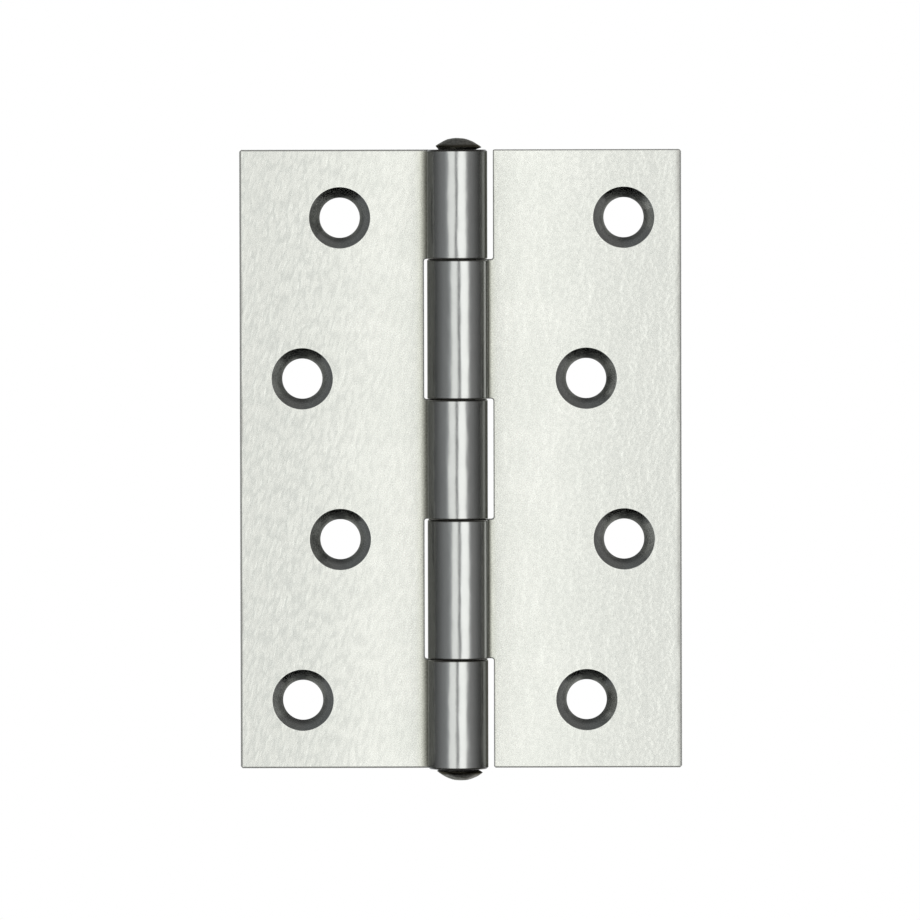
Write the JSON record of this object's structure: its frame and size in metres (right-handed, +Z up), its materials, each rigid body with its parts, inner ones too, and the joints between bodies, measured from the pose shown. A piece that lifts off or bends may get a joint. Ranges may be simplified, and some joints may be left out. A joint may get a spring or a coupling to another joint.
{
  "type": "butt hinge",
  "caption": "Pressed-steel butt hinge: flat leaves rolled into interleaved knuckles that turn on a riveted fixed pin, with staggered countersunk screw holes.",
  "frame": {"origin": "on the pin's axis at mid-height of the leaves, with the leaves open flat", "axes": "+Z up along the pin, +X along the right leaf, +Y out of the flat backs that seat on the wood, so the knuckles stand out towards -Y"},
  "size_m": [0.0714, 0.0098, 0.1038],
  "materials": {
    "leaf_steel": "bright satin plating on rolled sheet, smoother on the knuckles",
    "pin_steel": "plain steel with hammered heads"
  },
  "bodies": {
    "frame_side": {"left_leaf": "leaf_steel", "hinge_pin": "pin_steel"},
    "door_side": {"right_leaf": "leaf_steel"}
  },
  "joints": [
    {"name": "hinge_swing", "type": "hinge", "parent": "frame_side", "child": "door_side", "pos_m": [0, 0, 0], "axis": [0, 0, -1], "range_deg": [-95, 188]}
  ]
}
